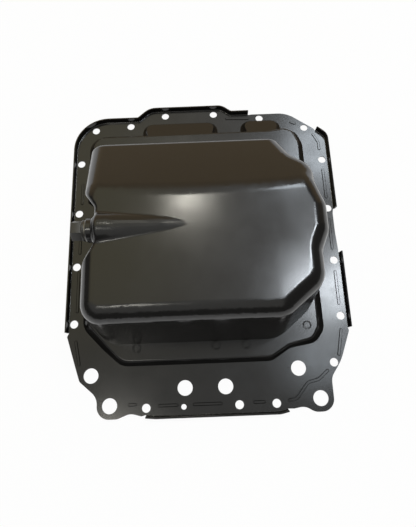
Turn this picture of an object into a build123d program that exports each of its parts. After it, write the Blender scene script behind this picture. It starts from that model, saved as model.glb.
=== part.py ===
from build123d import *
import math
import os

os.makedirs("parts", exist_ok=True)

# Stamped steel engine oil pan, lying on its gasket face with the sump upwards.
# Millimetres. X runs across the engine, Y along it, +Z away from the gasket face.
# The origin is the middle of the flange, on the gasket face.

# ---- sheet and flange -------------------------------------------------------
sheet = 1.5
side_bend = 152.0                # bend line of the side lips, from the middle
waist_depth = 1.0                # right-hand edge between its two lips, inside the bend line
far_bend = 182.0                 # bend line of the far lip
far_bend_left = 169.0            # its lower stretch at the left corner
far_bend_right = 173.5           # its lower stretch right of the middle
far_edge = 174.0                 # plain edge at the far right
near_bend = -182.0               # bend line of the near lip
ear_edge = -184.3                # plain edge round the two ears
side_lip_near = -98.0            # where the side lips end

lip_height = 7.0                 # over the gasket face
lip_lean = 10.0                  # degrees outwards from upright
lip_bend = 1.0                   # inner radius of the bend

# ---- holes ------------------------------------------------------------------
bolt_hole = 9.0                  # clearance for M8
bolt_inset = 5.0                 # side rows, inside the bend line
bolt_inset_far = 6.0
bolt_inset_near = 7.7
bolt_column = side_bend - bolt_inset
bolt_row_far = far_bend - bolt_inset_far
bolt_row_near = near_bend + bolt_inset_near
left_bolt_first = -83.5
left_bolt_pitch = 65.5
right_bolt_first = -85.0
right_bolt_pitch = 64.0

dowel_hole = 16.0                # large holes for the bellhousing end
dowel_pair = 221.0               # across both outer pairs
ear_hole_x = -105.9
ear_hole_y = -170.8
shoulder_hole_x = -126.4
shoulder_hole_y = -139.4
middle_pair = 42.8
middle_hole_x = -26.5
middle_hole_y = -155.3
locating_hole = 5.6

# ---- stiffening beads -------------------------------------------------------
bead_width = 3.4                 # at its foot, on the outside
bead_height = 0.7
bead_lean = 45.0                 # degrees, of its sides from upright

# ---- spot welds that hold the baffle ----------------------------------------
weld_diameter = 7.5
weld_depth = 0.3
weld_inset = 3.8                 # from the foot of the sump to their middle

# ---- first draw: the shallow step round the sump ----------------------------
step_height = 11.5
step_taper = 38.0                # degrees from upright
step_edge = 3.0                  # outside radius of its upper edge
flange_left = 14.0               # width of the flange beside the step, up to the bend lines
flange_right = 24.5
flange_near = 50.5
flange_far = 31.5
lobe_gap = 16.0                  # from the far bend line to the two relief lobes
lobe_low = 4.5                   # their height there
lobe_rise = 25.0                 # distance in which they reach the step's height

step_left = flange_left - side_bend
step_right = side_bend - flange_right
step_near = near_bend + flange_near
step_far = far_bend - flange_far
lobe_far = far_bend - lobe_gap

# ---- second draw: the sump --------------------------------------------------
sump_height = 115.0
sump_draft = 4.5                 # degrees
bottom_crown = 3.0               # rise of the bottom over its width
shelf_left = 17.0                # top of the step beside the sump, both measured at the gasket face
shelf_right = 11.0
shelf_near = 22.0
shelf_far = 55.8
bulge = 8.0                      # relief bulge of the right-hand wall
ramp_start = 21.0                # where the bottom turns down into the ramp
ramp_angle = 23.5
ramp_blend = 40.0                # radius between bottom and ramp
shoulder = 16.0                  # radius between bottom and walls
far_shoulder = 8.0               # radius round the far wall

sump_left = step_left + shelf_left
sump_right = step_right - shelf_right
sump_near = step_near + shelf_near
sump_far = step_far - shelf_far

# ---- drain ------------------------------------------------------------------
drain_y = -14.0
drain_drop = 11.0                # axis of the plug, under the bottom's highest line
recess_depth = 20.0              # of the flat wall that carries the boss
recess_edge = 5.0                # radius round the recess
channel_radius = 18.4            # drain channel in the bottom, at the left wall
channel_length = 116.0
channel_end_radius = 10.3        # lower than the bottom there, so the channel runs out before
channel_blend = 5.0
boss_diameter = 23.0
boss_length = 7.0
spigot_diameter = 18.0           # part of the boss that passes through the sheet
spigot_length = 4.0
weld_leg = 2.0
thread_diameter = 14.0
thread_clearance = 0.05
plug_engagement = 13.0
washer_diameter = 20.0
washer_thickness = 1.5
plug_flange_thickness = 2.5
plug_hex = 17.0                  # across flats
plug_hex_height = 12.0

drain_z = sump_height - drain_drop
recess_wall = sump_left + recess_depth
channel_end = sump_left + channel_length

# ---- baffle -----------------------------------------------------------------
baffle_sheet = 1.2
baffle_near = step_near + 9.5
baffle_far = baffle_near + 88.0
baffle_left = recess_wall + 9.0
baffle_right = sump_right - 4.5
baffle_lip = 14.0                # height of the edge turned into the sump
window_bar = 18.0                # between the openings of the baffle
window_margin = 21.0             # beside them


def flange_runs():
    """Outline of the flange as runs of points and corner radii, in order.

    A run whose name starts with lip is bent up, the others are cut edges.
    """
    w = side_bend
    near = near_bend
    left = ear_hole_x
    right = ear_hole_x + dowel_pair
    return {
        "lip_far": (
            [(-w, side_lip_near + 5.0), (-w, far_bend_left), (-76.5, far_bend_left),
             (-62.0, far_bend), (26.0, far_bend), (37.0, far_bend_right), (60.0, far_bend_right)],
            [38.0, 6.0, 18.0, 12.0, 8.0],
        ),
        "far_right": ([(64.5, far_edge), (108.0, far_edge), (w - 12.0, 150.5)], [34.0]),
        "lip_upper_right": ([(w - 10.5, 147.5), (w, 138.5), (w, 42.0)], [12.0]),
        "waist": ([(w - 1.0, 36.0), (w - waist_depth, 12.0), (w, -8.0)], [60.0]),
        "lip_lower_right": ([(w, -12.0), (w, side_lip_near)], []),
        "right_ear": (
            [(w + 1.0, side_lip_near - 3.5), ((w + right + 14.6) / 2.0, side_lip_near - 35.0),
             (right + 13.6, ear_hole_y + 20.8), (right + 13.6, ear_edge), (right - 7.1, ear_edge),
             (right - 17.1, near + 3.8), (right - 28.6, near + 1.8)],
            [60.0, 16.0, 13.2, 13.0, 14.0],
        ),
        "lip_near": (
            [(right - 35.1, near + 2.0), (right - 44.1, near), (left + 48.9, near),
             (left + 38.4, near + 1.0)],
            [12.0, 12.0],
        ),
        "left_ear": (
            [(left + 33.4, near - 0.2), (left + 21.9, near + 3.0), (left + 7.9, ear_edge),
             (left - 13.4, ear_edge), (left - 13.4, ear_hole_y + 8.8),
             (shoulder_hole_x - 12.2, shoulder_hole_y - 5.6),
             (shoulder_hole_x - 18.1, shoulder_hole_y + 12.4), (-w - 2.0, side_lip_near + 1.0)],
            [14.0, 12.0, 13.2, 16.0, 8.0, 60.0],
        ),
    }


def run_line(points, radii):
    """One run as a line with rounded corners."""
    if radii:
        return FilletPolyline(*points, radius=radii)
    return Polyline(*points)


def step_outlines():
    """Foot and upper edge of the step, with the radius of each corner."""
    left, right = step_left, step_right
    near, far = step_near, step_far
    foot = {
        (left + 44.0, near): 20.0,
        (right - 60.5, near): 16.0,
        (right - 40.0, near + 13.0): 14.0,
        (right - 10.5, near + 18.0): 16.0,
        (right, near + 32.5): 16.0,
        (right - 2.5, far - 19.5): 20.0,
        (right - 9.5, far - 3.5): 14.0,
        (right - 23.5, far + 3.0): 14.0,
        (right - 41.5, far): 14.0,
        (left, far): 20.0,
        (left, near + 42.5): 20.0,
        (left + 22.5, near + 19.0): 40.0,
    }
    edge = {
        (left + 46.5, near + 4.0): 20.0,
        (right - 62.0, near + 4.0): 16.0,
        (right - 42.0, near + 16.0): 14.0,
        (right - 17.0, near + 22.0): 12.0,
        (right - 10.0, near + 34.5): 10.0,
        (right - 10.0, far - 24.5): 16.0,
        (right - 16.0, far - 9.5): 12.0,
        (right - 25.5, far - 4.0): 12.0,
        (right - 42.5, far - 7.0): 14.0,
        (left + 8.5, far - 8.0): 14.0,
        (left + 8.5, near + 47.0): 20.0,
        (left + 30.5, near + 21.5): 40.0,
    }
    return foot, edge


def sump_outline():
    """Foot of the sump walls at the gasket face, with the radius of each corner.

    The corners of the far wall stay sharp here, and are rounded with its upper edge.
    """
    r = sump_right
    return {
        (sump_left, sump_near): 27.0,
        (r - 41.8, sump_near): 32.0,
        (r, -74.0): 32.0,
        (r, -42.2): 10.0,
        (r + bulge, -23.5): 30.0,
        (r + bulge, 5.5): 30.0,
        (r, 27.5): 10.0,
        (r + 1.0, 51.0): 30.0,
        (r - 20.0, 68.1): 12.0,
        (r - 33.6, sump_far): 0.0,
        (sump_left, sump_far): 0.0,
    }


def bottom_block(inset):
    """Everything under the crowned bottom and the ramp, wider than the sump."""
    top = sump_height - inset
    edge = top - bottom_crown
    ramp_foot = top - math.tan(math.radians(ramp_angle)) * (150.0 - ramp_start)
    with BuildPart() as block:
        with BuildSketch(Plane.XZ):
            with BuildLine():
                ThreePointArc((sump_left, edge), (0.0, top), (-sump_left, edge))
                Polyline((-sump_left, edge), (150.0, edge), (150.0, -1.0), (-150.0, -1.0),
                         (-150.0, edge), (sump_left, edge))
            make_face()
        extrude(amount=150.0, both=True)
        with BuildSketch(Plane.YZ):
            with BuildLine():
                Polyline((ramp_start, top), (150.0, ramp_foot), (150.0, top + 50.0),
                         (ramp_start, top + 50.0), close=True)
            make_face()
        extrude(amount=150.0, both=True, mode=Mode.SUBTRACT)
        crease = block.edges().sort_by_distance((0.0, ramp_start, top))[0]
        fillet(crease, ramp_blend - inset)
    return block.part


def channel_form(inset):
    """Drain channel pressed outwards into the bottom, narrowing away from the boss."""
    with BuildPart() as form:
        for x, radius in ((sump_left, channel_radius), (channel_end, channel_end_radius)):
            with BuildSketch(Plane.YZ.offset(x)):
                with Locations((drain_y, drain_z)):
                    Circle(radius - inset)
        loft(ruled=True)
    return form.part


def recess_form(grow):
    """Space taken out of the left wall for the drain boss; grown by the sheet for the hollow."""
    y = drain_y
    wall = recess_wall
    out = wall - 99.0
    foot = [
        (wall, y - 14.0), (wall, y + 44.0), (wall - 28.0, y + 75.0), (out, y + 75.0),
        (out, y - 38.5), (wall - 28.0, y - 38.5),
    ]
    head = [
        (wall, y - 16.0), (wall, y + 17.0), (wall - 15.0, y + 38.0), (out, y + 38.0),
        (out, y - 42.0), (wall - 15.0, y - 42.0),
    ]
    with BuildPart() as form:
        for level, corners in ((-1.0 if grow else sheet, foot), (sump_height + 15.0, head)):
            with BuildSketch(Plane.XY.offset(level)):
                with BuildLine():
                    FilletPolyline(*corners, radius=[6.0, 6.0, 2.0, 2.0, 2.0, 2.0], close=True)
                make_face()
                if grow:
                    offset(amount=grow)
        loft(ruled=True)
    return form.part


def sharp_edges(form):
    """Edges above the flange where two faces meet at an angle."""
    meeting = {}
    for face in form.faces():
        for edge in face.edges():
            meeting.setdefault(edge, []).append(face.normal_at(edge @ 0.5))
    return [
        edge
        for edge, normals in meeting.items()
        if len(normals) == 2 and normals[0].dot(normals[1]) < 0.985 and edge.center().Z > 2.0 * sheet
    ]


def sump_form(inset):
    """Second draw as a solid: leaning walls, crowned bottom, ramp, drain channel and recess."""
    corners = sump_outline()
    block = bottom_block(inset)
    channel = channel_form(inset)
    recess = recess_form(inset)
    with BuildPart() as form:
        with BuildSketch() as foot:
            Polygon(*corners, align=None)
            for corner, radius in corners.items():
                if radius:
                    fillet(foot.vertices().sort_by_distance((*corner, 0.0))[0], radius)
            if inset:
                offset(amount=-inset / math.cos(math.radians(sump_draft)), kind=Kind.INTERSECTION)
        extrude(amount=sump_height + 5.0, taper=sump_draft)
        add(block, mode=Mode.INTERSECT)
        walls = form.faces().filter_by(lambda f: abs(f.normal_at().Z) < 0.3).sort_by(Axis.Y)
        rim = walls[:-1].edges().filter_by(
            lambda e: e.center().Z > 60.0 and abs(e.tangent_at(0.5).Z) < 0.6
        )
        fillet(rim.sort_by(Axis.X), shoulder - inset)
        far_wall = form.faces().sort_by(Axis.Y)[-1]
        fillet(far_wall.edges().filter_by(lambda e: e.center().Z > 1.0), far_shoulder - inset)
        add(channel)
        crease = form.edges().sort_by_distance((channel_end, drain_y, sump_height))[0]
        fillet(crease, channel_blend + inset)
        add(recess, mode=Mode.SUBTRACT)
        fillet(sharp_edges(form), recess_edge - inset)
    return form.part


def step_form(inset):
    """First draw as a solid: the shallow step round the sump."""
    foot, edge = step_outlines()
    top = step_height - inset
    with BuildPart() as form:
        for level, corners in ((0.0, foot), (top, edge)):
            with BuildSketch(Plane.XY.offset(level)):
                with BuildLine():
                    FilletPolyline(*corners, radius=list(corners.values()), close=True)
                make_face()
                if inset:
                    offset(amount=-1.2 * inset)
        loft(ruled=True)
        fillet(form.faces().sort_by(Axis.Z)[-1].edges(), step_edge - inset)
    return form.part


def lobe_form(inset, left, right):
    """Relief lobe in front of the step: a low pocket whose top slopes up to the step."""
    low = lobe_low - inset
    near = lobe_far - lobe_rise
    with BuildPart() as form:
        with BuildSketch():
            with BuildLine():
                FilletPolyline((right, near - 15.0), (right, lobe_far), (left, lobe_far),
                               (left, near - 15.0), radius=[14.0, 14.0])
                Line((left, near - 15.0), (right, near - 15.0))
            make_face()
            if inset:
                offset(amount=-inset / math.cos(math.radians(step_taper)))
        extrude(amount=step_height - inset, taper=step_taper)
        with BuildSketch(Plane.YZ):
            with BuildLine():
                Polyline((near, step_height - inset), (lobe_far, low), (lobe_far + 9.0, low),
                         (lobe_far + 9.0, 30.0), (near, 30.0), close=True)
            make_face()
        extrude(amount=200.0, both=True, mode=Mode.SUBTRACT)
    return form.part


def press_form(inset):
    """Solid enclosed by the drawn sheet: its outside, or its hollow if inset is the sheet."""
    lobes = [lobe_form(inset, -73.0, 22.0), lobe_form(inset, 48.0, 100.0)]
    draws = [sump_form(inset), step_form(inset)] + lobes
    recess = recess_form(inset)
    with BuildPart() as form:
        add(draws)
        add(recess, mode=Mode.SUBTRACT)
    return form.part


def lip_strip(points, radii):
    """Edge of the flange bent up along one run, with its bend."""
    lean = math.radians(lip_lean)
    outer = lip_bend + sheet
    reach = (lip_height - outer * (1.0 - math.sin(lean))) / math.cos(lean)
    half = math.sqrt(0.5)
    bend_out = (outer * math.cos(lean), outer - outer * math.sin(lean))
    bend_in = (lip_bend * math.cos(lean), outer - lip_bend * math.sin(lean))
    top_out = (bend_out[0] + math.sin(lean) * reach, bend_out[1] + math.cos(lean) * reach)
    top_in = (bend_in[0] + math.sin(lean) * reach, bend_in[1] + math.cos(lean) * reach)
    with BuildPart() as strip:
        with BuildLine() as run:
            run_line(points, radii)
        start = run.line % 0.0
        across = Plane(origin=run.line @ 0.0, x_dir=(-start.Y, start.X, 0.0), z_dir=start)
        with BuildSketch(across):
            with BuildLine():
                ThreePointArc((0.0, 0.0), (outer * half, outer - outer * half), bend_out)
                Polyline(bend_out, top_out, top_in, bend_in)
                ThreePointArc(bend_in, (lip_bend * half, outer - lip_bend * half), (0.0, sheet))
                Polyline((0.0, sheet), (-1.0, sheet), (-1.0, 0.0), (0.0, 0.0))
            make_face()
        sweep(path=run.line)
    return strip.part


def flange_plate():
    """Flat flange, cut to its outline."""
    with BuildPart() as plate:
        with BuildSketch():
            with BuildLine():
                runs = list(flange_runs().values())
                for index, (points, radii) in enumerate(runs):
                    run_line(points, radii)
                    Line(points[-1], runs[(index + 1) % len(runs)][0][0])
            make_face()
        extrude(amount=sheet)
    return plate.part


def bolt_points():
    """Centres of the flange bolt holes."""
    left = [(-bolt_column, left_bolt_first + left_bolt_pitch * k) for k in range(4)]
    right = [(bolt_column - 1.0, right_bolt_first + right_bolt_pitch * k) for k in range(4)]
    far = [(16.5 - bolt_column, 158.6), (-87.2, far_bend_left - 6.0), (-44.0, bolt_row_far),
           (16.5, bolt_row_far), (73.7, far_edge - 5.8), (bolt_column - 18.5, 152.3)]
    near = [(bolt_column - 14.0, side_lip_near - 36.7), (68.7, bolt_row_near), (29.9, bolt_row_near),
            (-67.5, bolt_row_near)]
    return left + right + far + near


def dowel_points():
    """Centres of the large holes at the near end."""
    return [
        (ear_hole_x, ear_hole_y), (ear_hole_x + dowel_pair, ear_hole_y),
        (shoulder_hole_x, shoulder_hole_y), (shoulder_hole_x + dowel_pair, shoulder_hole_y),
        (middle_hole_x, middle_hole_y), (middle_hole_x + middle_pair, middle_hole_y),
    ]


def bead_lines():
    """Centre lines of the stiffening beads, between the holes of the flange."""
    left = 3.0 - bolt_column
    right = bolt_column - 1.5
    near = bolt_row_near + 2.0
    between = [right_bolt_first + right_bolt_pitch * (k + 0.5) for k in range(3)]
    return [Polyline((right, y - 18.0), (right, y + 18.0)) for y in between] + [
        Polyline((left, 85.0), (left, 60.5)),
        Polyline((left, 12.0), (left, -1.5)),
        Polyline((left, -25.0), (left, -69.5)),
        Polyline((left, -103.0), (left + 4.5, -127.0)),
        Polyline((right - 1.0, -100.5), (right - 6.5, -126.5)),
        Polyline((-85.0, near + 2.0), (-79.0, near + 2.0)),
        Polyline((-53.5, near), (-35.5, near)),
        Polyline((-17.0, near), (10.5, near)),
        Polyline((46.0, near), (55.5, near)),
        Polyline((112.5, 160.5), (117.0, 158.5)),
        Polyline((32.5, 169.0), (59.0, 168.0)),
        FilletPolyline((138.5, 142.0), (right - 1.5, 131.0), (right - 1.5, 121.5), radius=10.0),
        FilletPolyline((82.5, -171.5), (90.0, -170.5), (103.0, -154.5), (115.0, -151.5), (125.0, -143.0),
                       radius=7.0),
    ]


def bead_form(inset):
    """All beads as solids: the ridges outside, or with an inset the grooves of the gasket face."""
    lean = math.radians(bead_lean)
    run = sheet * (1.0 / math.cos(lean) - math.tan(lean))
    base = 0.0 if inset else sheet
    width = bead_width - 2.0 * run if inset else bead_width
    lines = bead_lines()
    with BuildPart() as form:
        for line in lines:
            with BuildSketch(Plane.XY.offset(base)):
                SlotArc(line, width)
            extrude(amount=bead_height, taper=bead_lean)
    return form.part


flange = flange_plate()
outside = press_form(0.0)
hollow = press_form(sheet)
lips = [lip_strip(*run) for name, run in flange_runs().items() if name.startswith("lip")]
ridges = bead_form(0.0)
grooves = bead_form(sheet)

with BuildPart() as oil_pan:
    add(flange)
    add(outside)
    add(hollow, mode=Mode.SUBTRACT)
    add(lips)
    add(ridges)
    add(grooves, mode=Mode.SUBTRACT)
    with BuildSketch():
        with Locations(*bolt_points()):
            Circle(bolt_hole / 2.0)
        with Locations(*dowel_points()):
            Circle(dowel_hole / 2.0)
        with Locations((-28.2, bolt_row_near)):
            Circle(locating_hole / 2.0)
    extrude(amount=sheet, mode=Mode.SUBTRACT)
    with BuildSketch(Plane.XY.offset(step_height)):
        weld_row = sump_near - weld_inset
        with Locations((-76.0, weld_row), (7.8, weld_row), (39.6, weld_row), (106.0, weld_row + 18.0)):
            Circle(weld_diameter / 2.0)
    extrude(amount=-weld_depth, mode=Mode.SUBTRACT)
    with BuildSketch(Plane.YZ.offset(recess_wall - 2.0)):
        with Locations((drain_y, drain_z)):
            Circle(spigot_diameter / 2.0)
    extrude(amount=sheet + 4.0, mode=Mode.SUBTRACT)

# ---- drain boss, washer and plug, outwards from the recess wall
drain = Plane(origin=(recess_wall, drain_y, drain_z), x_dir=(0.0, 0.0, 1.0), z_dir=(-1.0, 0.0, 0.0))
washer_seat = drain.offset(boss_length)
plug_seat = washer_seat.offset(washer_thickness)

with BuildPart() as drain_boss:
    with BuildSketch(drain):
        Circle(boss_diameter / 2.0)
    extrude(amount=boss_length)
    chamfer(drain_boss.edges().sort_by(Axis.X)[0], 0.6)
    with BuildSketch(drain.offset(-spigot_length)):
        Circle(spigot_diameter / 2.0)
    extrude(amount=spigot_length)
    with BuildSketch(drain):
        Circle(boss_diameter / 2.0 + weld_leg)
    extrude(amount=weld_leg, taper=45.0)
    with BuildSketch(washer_seat):
        Circle(thread_diameter / 2.0 + thread_clearance)
    extrude(amount=-boss_length - spigot_length, mode=Mode.SUBTRACT)

with BuildPart() as drain_washer:
    with BuildSketch(washer_seat):
        Circle(washer_diameter / 2.0)
        Circle(thread_diameter / 2.0 + 2.0 * thread_clearance, mode=Mode.SUBTRACT)
    extrude(amount=washer_thickness)

with BuildPart() as drain_plug:
    with BuildSketch(plug_seat):
        Circle(washer_diameter / 2.0)
    extrude(amount=plug_flange_thickness)
    with BuildSketch(plug_seat.offset(plug_flange_thickness)):
        RegularPolygon(plug_hex / 2.0, 6, major_radius=False, rotation=0.0)
    extrude(amount=plug_hex_height)
    with BuildSketch(plug_seat):
        Circle(thread_diameter / 2.0)
    extrude(amount=-washer_thickness - plug_engagement)
    chamfer(drain_plug.edges().sort_by(Axis.X)[-1], 1.0)

# ---- baffle under the near part of the step, its far edge turned into the sump
with BuildPart() as baffle_plate:
    baffle_top = step_height - sheet
    with BuildSketch(Plane.YZ.offset(baffle_left)):
        with BuildLine():
            FilletPolyline((baffle_near, baffle_top - baffle_sheet), (baffle_far, baffle_top - baffle_sheet),
                           (baffle_far, baffle_top + baffle_lip), radius=[3.0])
            Line((baffle_far, baffle_top + baffle_lip), (baffle_far - baffle_sheet, baffle_top + baffle_lip))
            FilletPolyline((baffle_far - baffle_sheet, baffle_top + baffle_lip),
                           (baffle_far - baffle_sheet, baffle_top), (baffle_near, baffle_top),
                           radius=[3.0 - baffle_sheet])
            Line((baffle_near, baffle_top), (baffle_near, baffle_top - baffle_sheet))
        make_face()
    extrude(amount=baffle_right - baffle_left)
    with BuildSketch():
        with BuildLine():
            FilletPolyline((baffle_left + 8.0, baffle_near), (baffle_right - 48.0, baffle_near),
                           (baffle_right - 28.0, baffle_near + 11.0),
                           (baffle_right - 8.0, baffle_near + 16.0),
                           (baffle_right, baffle_near + 24.0), (baffle_right, baffle_near + 38.0),
                           (baffle_right - 12.0, baffle_near + 52.0), (baffle_right - 12.0, baffle_far),
                           (baffle_left, baffle_far), (baffle_left, baffle_near + 10.0),
                           radius=[6.0] * 7 + [1.0, 1.0, 6.0], close=True)
        make_face()
    extrude(amount=60.0, mode=Mode.INTERSECT)
    with BuildSketch():
        span = baffle_right - 12.0 - baffle_left - 2.0 * window_margin
        window = (span - 2.0 * window_bar) / 3.0
        first = baffle_left + window_margin + window / 2.0
        with Locations(*[(first + (window + window_bar) * k, baffle_near + 54.0) for k in range(3)]):
            RectangleRounded(window, 44.0, 9.0)
    extrude(amount=step_height, mode=Mode.SUBTRACT)

nodes = {
    "oil_pan": oil_pan,
    "drain_boss": drain_boss,
    "drain_washer": drain_washer,
    "drain_plug": drain_plug,
    "baffle_plate": baffle_plate,
}
for label, node in nodes.items():
    node.part.label = label
    export_step(node.part, f"parts/{label}.step")
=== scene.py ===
"""Looks of a deep-drawn engine oil pan: black coat, drain plug, studio and camera."""

import logging
import math
from dataclasses import dataclass
from enum import Enum

import bmesh
import bpy
from mathutils import Matrix, Vector


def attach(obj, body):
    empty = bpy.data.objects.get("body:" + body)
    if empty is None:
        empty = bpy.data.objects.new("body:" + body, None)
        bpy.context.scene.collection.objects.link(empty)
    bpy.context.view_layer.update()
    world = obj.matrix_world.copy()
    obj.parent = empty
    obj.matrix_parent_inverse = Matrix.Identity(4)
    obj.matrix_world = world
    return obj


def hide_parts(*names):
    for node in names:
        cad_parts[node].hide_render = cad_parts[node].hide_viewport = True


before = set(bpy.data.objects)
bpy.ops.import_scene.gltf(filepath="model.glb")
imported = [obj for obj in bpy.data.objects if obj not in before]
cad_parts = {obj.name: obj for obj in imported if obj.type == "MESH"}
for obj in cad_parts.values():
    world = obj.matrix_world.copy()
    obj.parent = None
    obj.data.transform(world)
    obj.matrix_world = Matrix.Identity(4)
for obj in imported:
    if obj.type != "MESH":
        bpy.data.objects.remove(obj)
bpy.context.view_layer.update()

logging.basicConfig(level=logging.INFO, format="%(name)s: %(message)s")
log = logging.getLogger("oil_pan")

# Metres in a millimetre.
MM = 0.001
IMAGE_WIDTH = 416
IMAGE_HEIGHT = 527


class Body(Enum):
    """Bodies of the frame that pieces ride on."""

    PAN = "pan"
    WASHER = "washer"
    PLUG = "plug"


class Slot(Enum):
    """Material slots of the record."""

    COATED_STEEL = "coated_steel"
    PLUG_STEEL = "plug_steel"
    WASHER_METAL = "washer_metal"


def linear(code: str) -> tuple[float, float, float, float]:
    """Turns an sRGB hex colour into linear light.

    Args:
        code: The colour as #rrggbb.

    Returns:
        Red, green, blue and alpha, with alpha 1.
    """
    parts = [int(code[i : i + 2], 16) / 255.0 for i in (1, 3, 5)]
    light = [p / 12.92 if p <= 0.04045 else ((p + 0.055) / 1.055) ** 2.4 for p in parts]
    return (light[0], light[1], light[2], 1.0)


def new_object(name: str, data: bpy.types.ID) -> bpy.types.Object:
    """Makes an object at the origin and links it to the scene.

    Args:
        name: The object's name.
        data: Its mesh, lamp or camera.

    Returns:
        The new object.
    """
    piece = bpy.data.objects.new(name, data)
    bpy.context.scene.collection.objects.link(piece)
    return piece


def add_node(
    tree: bpy.types.NodeTree,
    kind: str,
    settings: dict[str | int, object] | None = None,
    **links: bpy.types.NodeSocket | tuple[float, ...] | float,
) -> bpy.types.Node:
    """Adds one node with its settings and links.

    Args:
        tree: The node tree that takes the node.
        kind: Blender's name of the node's type.
        settings: Attributes of the node, or values of its inputs by name or number.
        **links: For an input, the output socket or the value that feeds it. A number
            after a leading underscore picks the input by its place.

    Returns:
        The new node.
    """
    node = tree.nodes.new(kind)
    for key, value in (settings or {}).items():
        if isinstance(key, str) and hasattr(node, key):
            setattr(node, key, value)
        else:
            node.inputs[key].default_value = value
    for key, value in links.items():
        place = int(key[1:]) if key.startswith("_") else key.replace("_", " ")
        if isinstance(value, bpy.types.NodeSocket):
            tree.links.new(value, node.inputs[place])
        else:
            node.inputs[place].default_value = value
    return node


def new_material(name: str) -> tuple[bpy.types.Material, bpy.types.NodeTree, bpy.types.Node]:
    """Starts a material with a Principled shader on its output.

    Args:
        name: The material's name.

    Returns:
        The material, its node tree and the shader node.
    """
    material = bpy.data.materials.new(name)
    material.use_nodes = True
    tree = material.node_tree
    tree.nodes.clear()
    shader = add_node(tree, "ShaderNodeBsdfPrincipled")
    add_node(tree, "ShaderNodeOutputMaterial", Surface=shader.outputs["BSDF"])
    return material, tree, shader


@dataclass(frozen=True)
class ElectrocoatedSteel:
    """Cathodic electrocoat on drawn sheet steel: deep black, even, semi-gloss.

    The eye sees a smooth dielectric sheen with a faint orange peel, slightly duller
    patches where the pan was handled, and fine dust specks.
    """

    name: str = "electrocoated_steel"
    # Nearly black, so that what the eye sees is the reflected room, with dust a shade lighter.
    black: str = "#141312"
    dusty_black: str = "#201e1b"
    ior: float = 1.5
    # A baked coat is semi-gloss, and duller where hands and rags went over it.
    roughness: float = 0.15
    dull_roughness: float = 0.22
    patch_mm: float = 38.0
    patch_range: tuple[float, float] = (0.3, 0.75)
    # Orange peel at its real size, which ripples the edge of a highlight.
    peel_mm: float = 1.6
    peel_height_mm: float = 0.0008
    # Dust specks are finer in truth, and drawn coarse enough to show.
    speck_mm: float = 1.1
    speck_range: tuple[float, float] = (0.66, 0.78)
    speck_share: float = 0.5

    def make(self) -> bpy.types.Material:
        """Builds the node tree.

        Returns:
            The material.
        """
        material, tree, shader = new_material(self.name)
        place = add_node(tree, "ShaderNodeTexCoord").outputs["Object"]
        patches = add_node(
            tree,
            "ShaderNodeTexNoise",
            {"Scale": 1.0 / (self.patch_mm * MM), "Detail": 4.0, "Roughness": 0.6},
            Vector=place,
        )
        specks = add_node(
            tree,
            "ShaderNodeTexNoise",
            {"Scale": 1.0 / (self.speck_mm * MM), "Detail": 2.0},
            Vector=place,
        )
        dusty = add_node(
            tree,
            "ShaderNodeMapRange",
            {
                "From Min": self.speck_range[0],
                "From Max": self.speck_range[1],
                "To Max": self.speck_share,
            },
            Value=specks.outputs["Fac"],
        )
        colour = add_node(
            tree,
            "ShaderNodeMix",
            {"data_type": "RGBA", 6: linear(self.black), 7: linear(self.dusty_black)},
            _0=dusty.outputs["Result"],
        )
        sheen = add_node(
            tree,
            "ShaderNodeMapRange",
            {
                "From Min": self.patch_range[0],
                "From Max": self.patch_range[1],
                "To Min": self.roughness,
                "To Max": self.dull_roughness,
            },
            Value=patches.outputs["Fac"],
        )
        peel = add_node(
            tree,
            "ShaderNodeTexNoise",
            {"Scale": 1.0 / (self.peel_mm * MM), "Detail": 1.0},
            Vector=place,
        )
        bump = add_node(
            tree,
            "ShaderNodeBump",
            {"Strength": 1.0, "Distance": self.peel_height_mm * MM},
            Height=peel.outputs["Fac"],
        )
        tree.links.new(colour.outputs[2], shader.inputs["Base Color"])
        tree.links.new(sheen.outputs["Result"], shader.inputs["Roughness"])
        tree.links.new(bump.outputs["Normal"], shader.inputs["Normal"])
        shader.inputs["IOR"].default_value = self.ior
        return material


@dataclass(frozen=True)
class PhosphatedSteel:
    """Phosphated and oiled steel of the drain plug: dark grey-black, a little satin."""

    name: str = "phosphated_steel"
    # The crystals of the layer mottle it between two dark greys.
    dark: str = "#1a1917"
    light: str = "#35332f"
    ior: float = 1.5
    roughness: float = 0.42
    # The crystals are finer in truth, and drawn coarse enough to show.
    grain_mm: float = 0.5
    grain_height_mm: float = 0.02
    grain_share: float = 0.4

    def make(self) -> bpy.types.Material:
        """Builds the node tree.

        Returns:
            The material.
        """
        material, tree, shader = new_material(self.name)
        place = add_node(tree, "ShaderNodeTexCoord").outputs["Object"]
        grain = add_node(
            tree,
            "ShaderNodeTexNoise",
            {"Scale": 1.0 / (self.grain_mm * MM), "Detail": 3.0},
            Vector=place,
        )
        colour = add_node(
            tree,
            "ShaderNodeMix",
            {"data_type": "RGBA", 6: linear(self.dark), 7: linear(self.light)},
            _0=grain.outputs["Fac"],
        )
        bump = add_node(
            tree,
            "ShaderNodeBump",
            {"Strength": self.grain_share, "Distance": self.grain_height_mm * MM},
            Height=grain.outputs["Fac"],
        )
        tree.links.new(colour.outputs[2], shader.inputs["Base Color"])
        tree.links.new(bump.outputs["Normal"], shader.inputs["Normal"])
        shader.inputs["Roughness"].default_value = self.roughness
        shader.inputs["IOR"].default_value = self.ior
        return material


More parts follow.
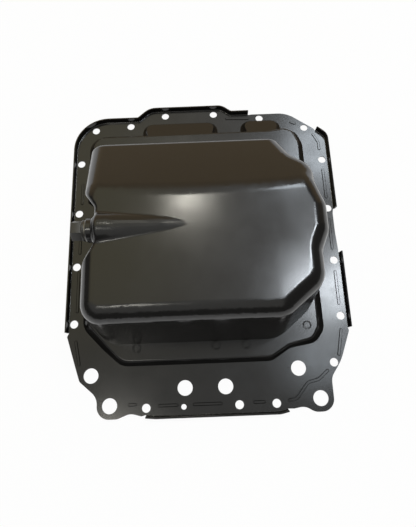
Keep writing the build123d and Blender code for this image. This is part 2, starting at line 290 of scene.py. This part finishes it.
@dataclass(frozen=True)
class SoftAluminium:
    """Annealed aluminium sealing washer: dull grey metal with fine turning marks."""

    name: str = "soft_aluminium"
    # Annealed metal has lost its shine, so its mirror is grey and blurred.
    grey: str = "#77756f"
    dull: str = "#4c4a46"
    roughness: float = 0.4
    # Turning marks are finer in truth, and drawn coarse enough to show.
    mark_mm: float = 0.35

    def make(self) -> bpy.types.Material:
        """Builds the node tree.

        Returns:
            The material.
        """
        material, tree, shader = new_material(self.name)
        place = add_node(tree, "ShaderNodeTexCoord").outputs["Object"]
        marks = add_node(
            tree,
            "ShaderNodeTexNoise",
            {"Scale": 1.0 / (self.mark_mm * MM), "Detail": 2.0},
            Vector=place,
        )
        colour = add_node(
            tree,
            "ShaderNodeMix",
            {"data_type": "RGBA", 6: linear(self.dull), 7: linear(self.grey)},
            _0=marks.outputs["Fac"],
        )
        tree.links.new(colour.outputs[2], shader.inputs["Base Color"])
        shader.inputs["Metallic"].default_value = 1.0
        shader.inputs["Roughness"].default_value = self.roughness
        return material


@dataclass
class FrameForm:
    """A form of the frame, copied and given clean shading."""

    # Edges that turn more than this stay sharp.
    crease_deg: float = 24.0
    # Between two large flat forms, an edge is sharp from here on.
    flat_crease_deg: float = 3.0
    # A flat form with more triangles than this counts as large.
    flat_triangles: int = 4
    # Triangles that turn less than this from one to the next are one flat form.
    level_deg: float = 0.05
    merge_mm: float = 0.002

    def regions(
        self, form: bmesh.types.BMesh
    ) -> tuple[list[int], dict[int, float], dict[int, int]]:
        """Groups the triangles into flat regions.

        Args:
            form: The merged mesh, with its indices up to date.

        Returns:
            The region of each triangle, and the area and triangle count of each region.
        """
        region = [-1] * len(form.faces)
        area: dict[int, float] = {}
        count: dict[int, int] = {}
        level = math.radians(self.level_deg)
        for start in form.faces:
            if region[start.index] >= 0:
                continue
            name = start.index
            region[name] = name
            area[name] = 0.0
            count[name] = 0
            waiting = [start]
            while waiting:
                face = waiting.pop()
                area[name] += face.calc_area()
                count[name] += 1
                for edge in face.edges:
                    if len(edge.link_faces) != 2 or edge.calc_face_angle() > level:
                        continue
                    for other in edge.link_faces:
                        if region[other.index] < 0:
                            region[other.index] = name
                            waiting.append(other)
        return region, area, count

    def shade(self, mesh: bpy.types.Mesh) -> None:
        """Gives each corner the normal of the forms that run smoothly into each other there.

        Large flat forms weigh most, so a rounding starts level with the sheet beside it.

        Args:
            mesh: The mesh to shade.
        """
        form = bmesh.new()
        form.from_mesh(mesh)
        form.faces.index_update()
        form.verts.index_update()
        region, area, count = self.regions(form)
        crease = math.radians(self.crease_deg)
        flat_crease = math.radians(self.flat_crease_deg)
        for edge in form.edges:
            pair = edge.link_faces
            edge.smooth = False
            if len(pair) == 2:
                turn = edge.calc_face_angle()
                flats = min(count[region[face.index]] for face in pair) > self.flat_triangles
                edge.smooth = turn <= crease and not (flats and turn > flat_crease)
        normals: dict[tuple[int, int], Vector] = {}
        for vert in form.verts:
            left = list(vert.link_faces)
            while left:
                fan = [left.pop()]
                for face in fan:
                    for edge in face.edges:
                        if not edge.smooth or vert not in edge.verts:
                            continue
                        for other in edge.link_faces:
                            if other in left:
                                left.remove(other)
                                fan.append(other)
                parts = {region[face.index]: face.normal for face in fan}
                total = sum((normal * area[name] for name, normal in parts.items()), Vector())
                for face in fan:
                    normals[face.index, vert.index] = total.normalized()
        for face in form.faces:
            face.smooth = True
        form.to_mesh(mesh)
        form.free()
        mesh.normals_split_custom_set(
            [normals[face.index, index] for face in mesh.polygons for index in face.vertices]
        )

    def shell(self, node: str, name: str) -> bpy.types.Object:
        """Copies a frame node, joins its loose triangles and shades it smoothly.

        Args:
            node: The frame node to copy.
            name: The new piece's name.

        Returns:
            The new piece, which stands for the node.
        """
        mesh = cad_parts[node].data.copy()
        mesh.name = name
        form = bmesh.new()
        form.from_mesh(mesh)
        bmesh.ops.remove_doubles(form, verts=form.verts, dist=self.merge_mm * MM)
        form.to_mesh(mesh)
        form.free()
        self.shade(mesh)
        piece = new_object(name, mesh)
        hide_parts(node)
        return piece


@dataclass
class PressedPan(FrameForm):
    """The drawn shell with the baffle and the boss that are welded to it."""

    # Each node of the frame, and the piece that stands for it.
    pieces: tuple[tuple[str, str], ...] = (
        ("oil_pan", "pan_shell"),
        ("baffle_plate", "baffle_sheet"),
        ("drain_boss", "boss_ring"),
    )

    def build(self, coat: bpy.types.Material) -> list[bpy.types.Object]:
        """Builds the pan's pieces.

        Args:
            coat: The black coat.

        Returns:
            The pieces, each riding on the pan.
        """
        built = []
        for node, name in self.pieces:
            piece = self.shell(node, name)
            piece.data.materials.clear()
            piece.data.materials.append(coat)
            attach(piece, Body.PAN.value)
            built.append(piece)
        return built


@dataclass
class SealingWasher(FrameForm):
    """The flat ring between plug and boss."""

    def build(self, metal: bpy.types.Material) -> bpy.types.Object:
        """Builds the washer.

        Args:
            metal: The washer's metal.

        Returns:
            The washer, which stands for its node.
        """
        piece = self.shell("drain_washer", "washer_ring")
        piece.data.materials.clear()
        piece.data.materials.append(metal)
        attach(piece, Body.WASHER.value)
        return piece


@dataclass
class SpotWelds:
    """Low squeezed-up rims round the spot welds along the foot of the sump."""

    places_mm: tuple[tuple[float, float], ...] = (
        (-76.0, -113.3),
        (7.8, -113.3),
        (39.6, -113.3),
        (106.0, -95.3),
    )
    # Height of the face that they stand on.
    sheet_mm: float = 11.5
    radius_mm: float = 4.0
    half_width_mm: float = 0.75
    height_mm: float = 0.5
    profile_sides: int = 10
    steps: int = 40

    def build(self, coat: bpy.types.Material) -> bpy.types.Object:
        """Turns one rim at each weld.

        Args:
            coat: The black coat.

        Returns:
            The rims as one piece, riding on the pan.
        """
        form = bmesh.new()
        for place in self.places_mm:
            middle = Vector((place[0], place[1], self.sheet_mm)) * MM
            ring = bmesh.ops.create_circle(
                form, segments=self.profile_sides, radius=self.half_width_mm * MM
            )["verts"]
            bmesh.ops.scale(form, verts=ring, vec=(1.0, self.height_mm / self.half_width_mm, 1.0))
            bmesh.ops.rotate(form, verts=ring, matrix=Matrix.Rotation(math.pi / 2.0, 3, "X"))
            outwards = Vector((self.radius_mm * MM, 0.0, 0.0))
            bmesh.ops.translate(form, verts=ring, vec=middle + outwards)
            edges = [edge for edge in form.edges if edge.verts[0] in ring]
            bmesh.ops.spin(
                form,
                geom=ring + edges,
                cent=middle,
                axis=(0.0, 0.0, 1.0),
                angle=math.tau,
                steps=self.steps,
                use_merge=True,
            )
        bmesh.ops.recalc_face_normals(form, faces=form.faces)
        for face in form.faces:
            face.smooth = True
        mesh = bpy.data.meshes.new("weld_rims")
        form.to_mesh(mesh)
        form.free()
        mesh.materials.append(coat)
        piece = new_object("weld_rims", mesh)
        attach(piece, Body.PAN.value)
        return piece


@dataclass
class DrainPlug:
    """Hexagon-headed screw plug with a collar and a cut thread, lying along -X."""

    # Where the collar's inner face meets the axis.
    seat_mm: tuple[float, float, float] = (-109.5, -14.0, 104.0)
    collar_radius_mm: float = 10.0
    collar_mm: float = 2.5
    collar_sides: int = 48
    across_flats_mm: float = 17.0
    head_mm: float = 10.0
    head_sides: int = 6
    thread_radius_mm: float = 6.98
    thread_root_mm: float = 6.15
    thread_pitch_mm: float = 1.5
    thread_turns: int = 9
    thread_steps: int = 28
    # The crest begins and ends at these shares of the pitch.
    crest_share: tuple[float, float] = (0.42, 0.56)
    # The core covers the root of the thread and runs on past its end.
    core_cover_mm: float = 0.02
    core_past_mm: float = 0.6
    core_sides: int = 36
    # Head and core are sunk into the collar by these depths.
    head_sink_mm: float = 0.4
    core_sink_mm: float = 0.2
    edge_mm: float = 0.7
    edge_segments: int = 3
    crease_deg: float = 25.0
    merge_mm: float = 0.002

    def drum(
        self, start_mm: float, end_mm: float, radius_mm: float, sides: int
    ) -> bmesh.types.BMesh:
        """Turns one closed length of the plug with eased edges.

        Args:
            start_mm: Distance of its inner end outwards from the seat.
            end_mm: Distance of its outer end.
            radius_mm: Radius over its corners.
            sides: Number of sides.

        Returns:
            The length, lying in place.
        """
        form = bmesh.new()
        bmesh.ops.create_cone(
            form,
            cap_ends=True,
            segments=sides,
            radius1=radius_mm * MM,
            radius2=radius_mm * MM,
            depth=(end_mm - start_mm) * MM,
        )
        ends = [
            edge
            for edge in form.edges
            if math.isclose(edge.verts[0].co.z, edge.verts[1].co.z, abs_tol=self.merge_mm * MM)
        ]
        bmesh.ops.bevel(
            form,
            geom=ends,
            offset=self.edge_mm * MM,
            offset_type="OFFSET",
            affect="EDGES",
            segments=self.edge_segments,
            profile=0.5,
            material=-1,
        )
        middle = (start_mm + end_mm) / 2.0 * MM
        bmesh.ops.translate(form, verts=form.verts, vec=(0.0, 0.0, middle))
        return form

    def thread(self) -> bmesh.types.BMesh:
        """Winds the V-shaped thread as one screw surface.

        Returns:
            The thread, which is open towards the core that it lies on.
        """
        form = bmesh.new()
        pitch = self.thread_pitch_mm * MM
        crest = self.thread_radius_mm * MM
        root = self.thread_root_mm * MM
        crest_start, crest_end = (share * pitch for share in self.crest_share)
        profile = [(root, 0.0), (crest, crest_start), (crest, crest_end), (root, pitch)]
        verts = [form.verts.new((radius, 0.0, -height)) for radius, height in profile]
        edges = [form.edges.new(pair) for pair in zip(verts, verts[1:])]
        bmesh.ops.spin(
            form,
            geom=verts + edges,
            cent=(0.0, 0.0, 0.0),
            axis=(0.0, 0.0, 1.0),
            dvec=(0.0, 0.0, -pitch / self.thread_steps),
            angle=math.tau * (self.thread_turns - 1),
            steps=self.thread_steps * (self.thread_turns - 1),
            use_merge=False,
        )
        bmesh.ops.remove_doubles(form, verts=form.verts, dist=self.merge_mm * MM)
        bmesh.ops.recalc_face_normals(form, faces=form.faces)
        return form

    def build(self, finish: bpy.types.Material) -> bpy.types.Object:
        """Builds the plug.

        Args:
            finish: The plug's finish.

        Returns:
            The plug, which stands for its node.
        """
        core_start = -self.thread_turns * self.thread_pitch_mm - self.core_past_mm
        core_radius = self.thread_root_mm + self.core_cover_mm
        corner = self.across_flats_mm / 2.0 / math.cos(math.pi / self.head_sides)
        head_start = self.collar_mm - self.head_sink_mm
        head_end = self.collar_mm + self.head_mm
        forms = [
            self.drum(0.0, self.collar_mm, self.collar_radius_mm, self.collar_sides),
            self.drum(head_start, head_end, corner, self.head_sides),
            self.drum(core_start, self.core_sink_mm, core_radius, self.core_sides),
            self.thread(),
        ]
        mesh = bpy.data.meshes.new("hex_plug")
        whole = bmesh.new()
        for form in forms:
            form.to_mesh(mesh)
            form.free()
            whole.from_mesh(mesh)
        turn = Matrix.Rotation(math.radians(-90.0), 4, "Y")
        place = Matrix.Translation(Vector(self.seat_mm) * MM)
        bmesh.ops.transform(whole, matrix=place @ turn, verts=whole.verts)
        for face in whole.faces:
            face.smooth = True
        whole.to_mesh(mesh)
        whole.free()
        mesh.set_sharp_from_angle(angle=math.radians(self.crease_deg))
        mesh.materials.append(finish)
        plug = new_object("hex_plug", mesh)
        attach(plug, Body.PLUG.value)
        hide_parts("drain_plug")
        return plug


@dataclass(frozen=True)
class Lamp:
    """One rectangular lamp, where a radiance of 1 is white.

    Its lean and its face are given in metres sideways for each metre of height.
    """

    name: str
    lean: tuple[float, float]
    face: tuple[float, float]
    radiance: float
    colour: str


@dataclass(frozen=True)
class Change:
    """One smooth change of the surround's colour along an axis of the view.

    The sides before and after it are hex colours, or the names of earlier changes.
    """

    name: str
    before: str
    after: str
    axis: str
    start: float
    end: float


@dataclass
class Studio:
    """Plain pale floor, soft lamps and a quiet room."""

    floor_m: float = 8.0
    floor_drop_mm: float = 0.3
    floor_colour: str = "#f0f0f0"
    # Share of white glow in the floor where it is seen. The rest is paint, which takes shadow.
    floor_glow: float = 0.94
    # A pale ceiling, warmer on the left, dimmer on the near side and dark on the right.
    # Below it lie dark walls, of which the far one is warm.
    changes: tuple[Change, ...] = (
        Change("warm_ceiling", "#f9f7f3", "#fff6ce", "X", 0.12, -0.3),
        Change("dimmed_ceiling", "warm_ceiling", "#cececb", "Y", 0.3, 0.0),
        Change("ceiling", "dimmed_ceiling", "#616161", "X", 0.3, 0.45),
        Change("walls", "#616161", "#cbb38e", "Y", 0.3, 0.6),
        Change("room", "walls", "ceiling", "Z", 0.52, 0.72),
    )
    # Each lamp shows as a highlight on the coat.
    lamp_height_m: float = 4.0
    lamps: tuple[Lamp, ...] = (
        Lamp("ceiling_lamp", (-0.05, 0.464), (0.11, 0.045), 48.0, "#fffcef"),
        Lamp("near_lamp", (-0.24, -0.16), (0.16, 0.12), 12.0, "#fffcf1"),
        Lamp("far_window", (0.325, 0.63), (0.14, 0.2), 16.0, "#eaf5ff"),
        Lamp("middle_window", (0.42, 0.28), (0.08, 0.36), 46.0, "#eff7ff"),
        Lamp("near_window", (0.27, 0.05), (0.09, 0.12), 8.0, "#eaf5ff"),
    )

    def floor(self) -> bpy.types.Object:
        """Makes the floor, which looks white and still keeps the object's soft shadow.

        Returns:
            The floor, which is staging and no piece of the part.
        """
        form = bmesh.new()
        bmesh.ops.create_grid(form, x_segments=1, y_segments=1, size=self.floor_m / 2.0)
        bmesh.ops.translate(form, verts=form.verts, vec=(0.0, 0.0, -self.floor_drop_mm * MM))
        mesh = bpy.data.meshes.new("studio_floor")
        form.to_mesh(mesh)
        form.free()
        material = bpy.data.materials.new("matt_floor_paint")
        material.use_nodes = True
        tree = material.node_tree
        tree.nodes.clear()
        paint = add_node(tree, "ShaderNodeBsdfDiffuse", {"Color": linear(self.floor_colour)})
        glow = add_node(tree, "ShaderNodeEmission", {"Strength": 1.0})
        path = add_node(tree, "ShaderNodeLightPath").outputs
        seen = path["Is Camera Ray"]
        for ray in ("Is Glossy Ray", "Is Transmission Ray"):
            either = add_node(
                tree, "ShaderNodeMath", {"operation": "MAXIMUM"}, _0=seen, _1=path[ray]
            )
            seen = either.outputs[0]
        share = add_node(
            tree, "ShaderNodeMath", {"operation": "MULTIPLY", 1: self.floor_glow}, _0=seen
        )
        mixed = add_node(
            tree,
            "ShaderNodeMixShader",
            _0=share.outputs[0],
            _1=paint.outputs[0],
            _2=glow.outputs[0],
        )
        add_node(tree, "ShaderNodeOutputMaterial", Surface=mixed.outputs[0])
        mesh.materials.append(material)
        plane = new_object("studio_floor", mesh)
        return plane

    def surround(self) -> None:
        """Sets the surround: white where it is seen, and else a dim room with a pale ceiling."""
        world = bpy.data.worlds.new("surround")
        bpy.context.scene.world = world
        world.use_nodes = True
        tree = world.node_tree
        tree.nodes.clear()
        way = add_node(tree, "ShaderNodeTexCoord").outputs["Generated"]
        axes = add_node(tree, "ShaderNodeSeparateXYZ", Vector=way).outputs
        mixes: dict[str, bpy.types.NodeSocket] = {}
        for change in self.changes:
            share = add_node(
                tree,
                "ShaderNodeMapRange",
                {
                    "interpolation_type": "SMOOTHSTEP",
                    "From Min": change.start,
                    "From Max": change.end,
                },
                Value=axes[change.axis],
            )
            before, after = (
                mixes[side] if side in mixes else linear(side)
                for side in (change.before, change.after)
            )
            mixed = add_node(
                tree,
                "ShaderNodeMix",
                {"data_type": "RGBA"},
                _0=share.outputs[0],
                _6=before,
                _7=after,
            )
            mixes[change.name] = mixed.outputs[2]
        room = add_node(tree, "ShaderNodeBackground", {"Strength": 1.0}, Color=mixes["room"])
        white = add_node(
            tree, "ShaderNodeBackground", {"Color": linear("#ffffff"), "Strength": 1.0}
        )
        path = add_node(tree, "ShaderNodeLightPath").outputs
        seen = add_node(
            tree,
            "ShaderNodeMixShader",
            _0=path["Is Camera Ray"],
            _1=room.outputs[0],
            _2=white.outputs[0],
        )
        add_node(tree, "ShaderNodeOutputWorld", Surface=seen.outputs[0])

    def hang(self, lamp: Lamp) -> None:
        """Hangs one soft rectangular lamp that faces the object.

        Args:
            lamp: The lamp's place, face and light.
        """
        data = bpy.data.lights.new(lamp.name, "AREA")
        data.shape = "RECTANGLE"
        data.size = lamp.face[0] * self.lamp_height_m
        data.size_y = lamp.face[1] * self.lamp_height_m
        data.color = linear(lamp.colour)[:3]
        data.energy = lamp.radiance * math.pi * data.size * data.size_y
        place = Vector((lamp.lean[0], lamp.lean[1], 1.0)) * self.lamp_height_m
        piece = new_object(lamp.name, data)
        piece.location = place
        piece.rotation_euler = (-place).to_track_quat("-Z", "Y").to_euler()
        piece.visible_camera = False

    def build(self) -> None:
        """Builds floor, surround and lamps."""
        self.floor()
        self.surround()
        for lamp in self.lamps:
            self.hang(lamp)


@dataclass
class Camera:
    """The viewing camera, standing above the near flange and looking down and away."""

    place_mm: tuple[float, float, float] = (2.6, -170.0, 503.0)
    # Away from straight down, and then round the line of sight.
    lean_deg: float = 16.7
    roll_deg: float = 2.2
    focal_px: float = 460.0
    sensor_mm: float = 36.0
    nearest_m: float = 0.01
    farthest_m: float = 50.0

    def build(self) -> bpy.types.Object:
        """Creates the camera and makes it the scene's camera.

        Returns:
            The camera.
        """
        lean = math.radians(self.lean_deg)
        roll = math.radians(self.roll_deg)
        ahead = Vector((0.0, math.sin(lean), -math.cos(lean)))
        level = Vector((1.0, 0.0, 0.0))
        upright = Vector((0.0, math.cos(lean), math.sin(lean)))
        right = math.cos(roll) * level - math.sin(roll) * upright
        up = math.cos(roll) * upright + math.sin(roll) * level
        data = bpy.data.cameras.new("camera")
        data.sensor_width = self.sensor_mm
        data.lens = self.focal_px / max(IMAGE_WIDTH, IMAGE_HEIGHT) * self.sensor_mm
        data.clip_start = self.nearest_m
        data.clip_end = self.farthest_m
        camera = new_object("camera", data)
        turn = Matrix((right, up, -ahead)).transposed().to_4x4()
        camera.matrix_world = Matrix.Translation(Vector(self.place_mm) * MM) @ turn
        bpy.context.scene.camera = camera
        return camera


def main() -> None:
    """Builds the pieces in order, then the studio and the camera."""
    bpy.context.scene.view_settings.view_transform = "Standard"
    coat = ElectrocoatedSteel().make()
    pieces = [
        *PressedPan().build(coat),
        SpotWelds().build(coat),
        DrainPlug().build(PhosphatedSteel().make()),
        SealingWasher().build(SoftAluminium().make()),
    ]
    for piece in pieces:
        log.info("%s built with %d faces", piece.name, len(piece.data.polygons))
    Studio().build()
    Camera().build()


if __name__ == "__main__":
    main()
